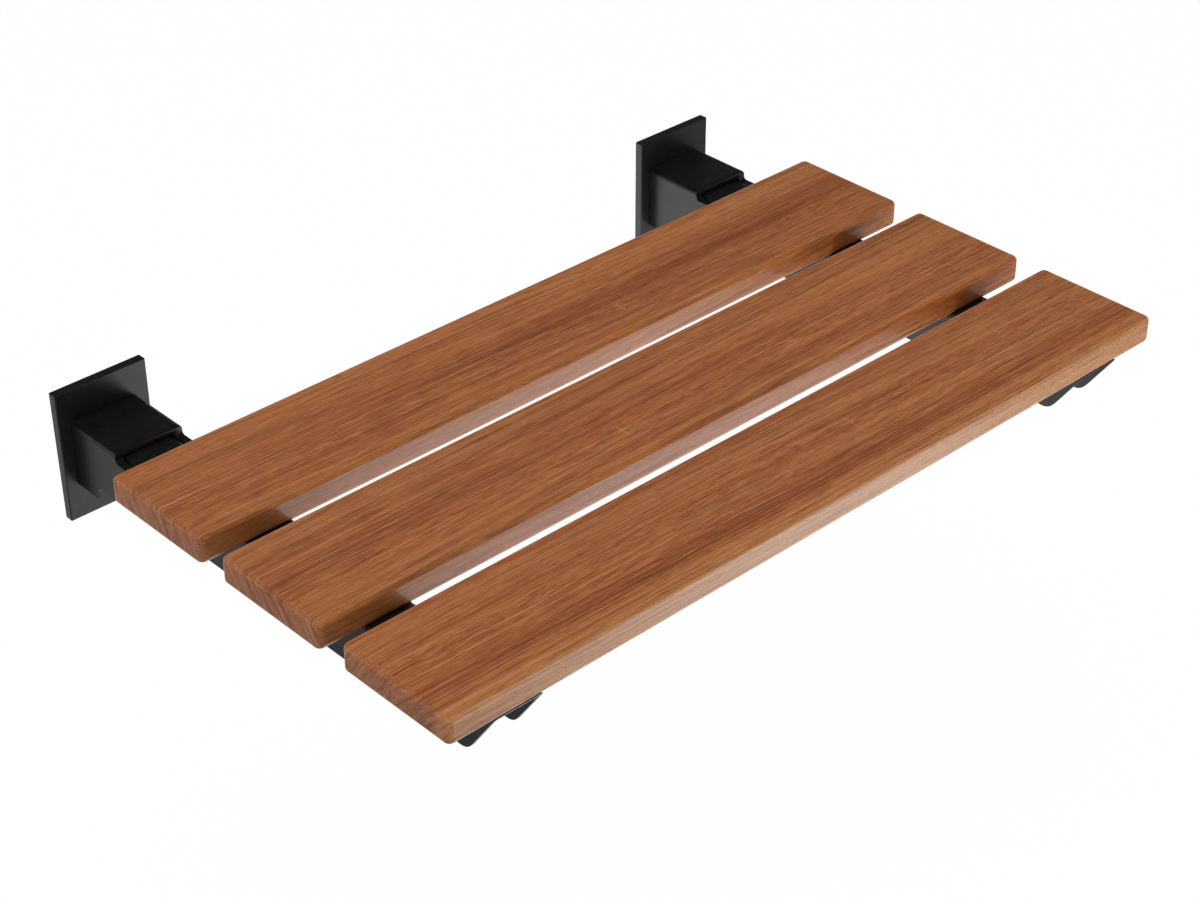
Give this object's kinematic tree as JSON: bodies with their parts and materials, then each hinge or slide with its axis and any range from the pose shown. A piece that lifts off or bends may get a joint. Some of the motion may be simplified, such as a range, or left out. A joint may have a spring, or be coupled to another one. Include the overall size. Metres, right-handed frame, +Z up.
{
  "type": "fold-down wall seat",
  "caption": "Slatted wooden shower seat on two black channel arms, folding up against the wall on a pair of hinge brackets.",
  "frame": {"origin": "on the wall plane, midway between the two brackets, at the middle height of the wall plates", "axes": "+X to the right along the slats for a viewer who faces the wall, +Y into the wall, +Z up; the seat reaches towards -Y"},
  "size_m": [0.711, 0.4728, 0.1108],
  "materials": {
    "teak": "oiled, satin",
    "black_powder_coat": "matte",
    "stainless_steel": "satin",
    "white_nylon": "matte",
    "black_rubber": "matte"
  },
  "bodies": {
    "brackets": {"left_wall_plate": "black_powder_coat", "right_wall_plate": "black_powder_coat", "left_flange_cover": "black_powder_coat", "right_flange_cover": "black_powder_coat", "left_cover_screw": "stainless_steel", "right_cover_screw": "stainless_steel", "left_hinge_housing": "black_powder_coat", "right_hinge_housing": "black_powder_coat", "left_housing_bolts": "stainless_steel", "right_housing_bolts": "stainless_steel", "left_pivot_pin": "stainless_steel", "right_pivot_pin": "stainless_steel", "left_pivot_screw": "stainless_steel", "right_pivot_screw": "stainless_steel", "left_stop_pad": "black_rubber", "right_stop_pad": "black_rubber"},
    "seat": {"rear_slat": "teak", "middle_slat": "teak", "front_slat": "teak", "left_arm": "black_powder_coat", "right_arm": "black_powder_coat", "left_pivot_bushes": "white_nylon", "right_pivot_bushes": "white_nylon", "left_pivot_tube": "black_powder_coat", "right_pivot_tube": "black_powder_coat", "left_slat_screws": "stainless_steel", "right_slat_screws": "stainless_steel", "left_slat_washers": "stainless_steel", "right_slat_washers": "stainless_steel"}
  },
  "joints": [
    {"name": "seat_fold", "type": "hinge", "parent": "brackets", "child": "seat", "pos_m": [0, -0.081, 0.006], "axis": [-1, 0, 0], "range_deg": [0, 90]}
  ]
}
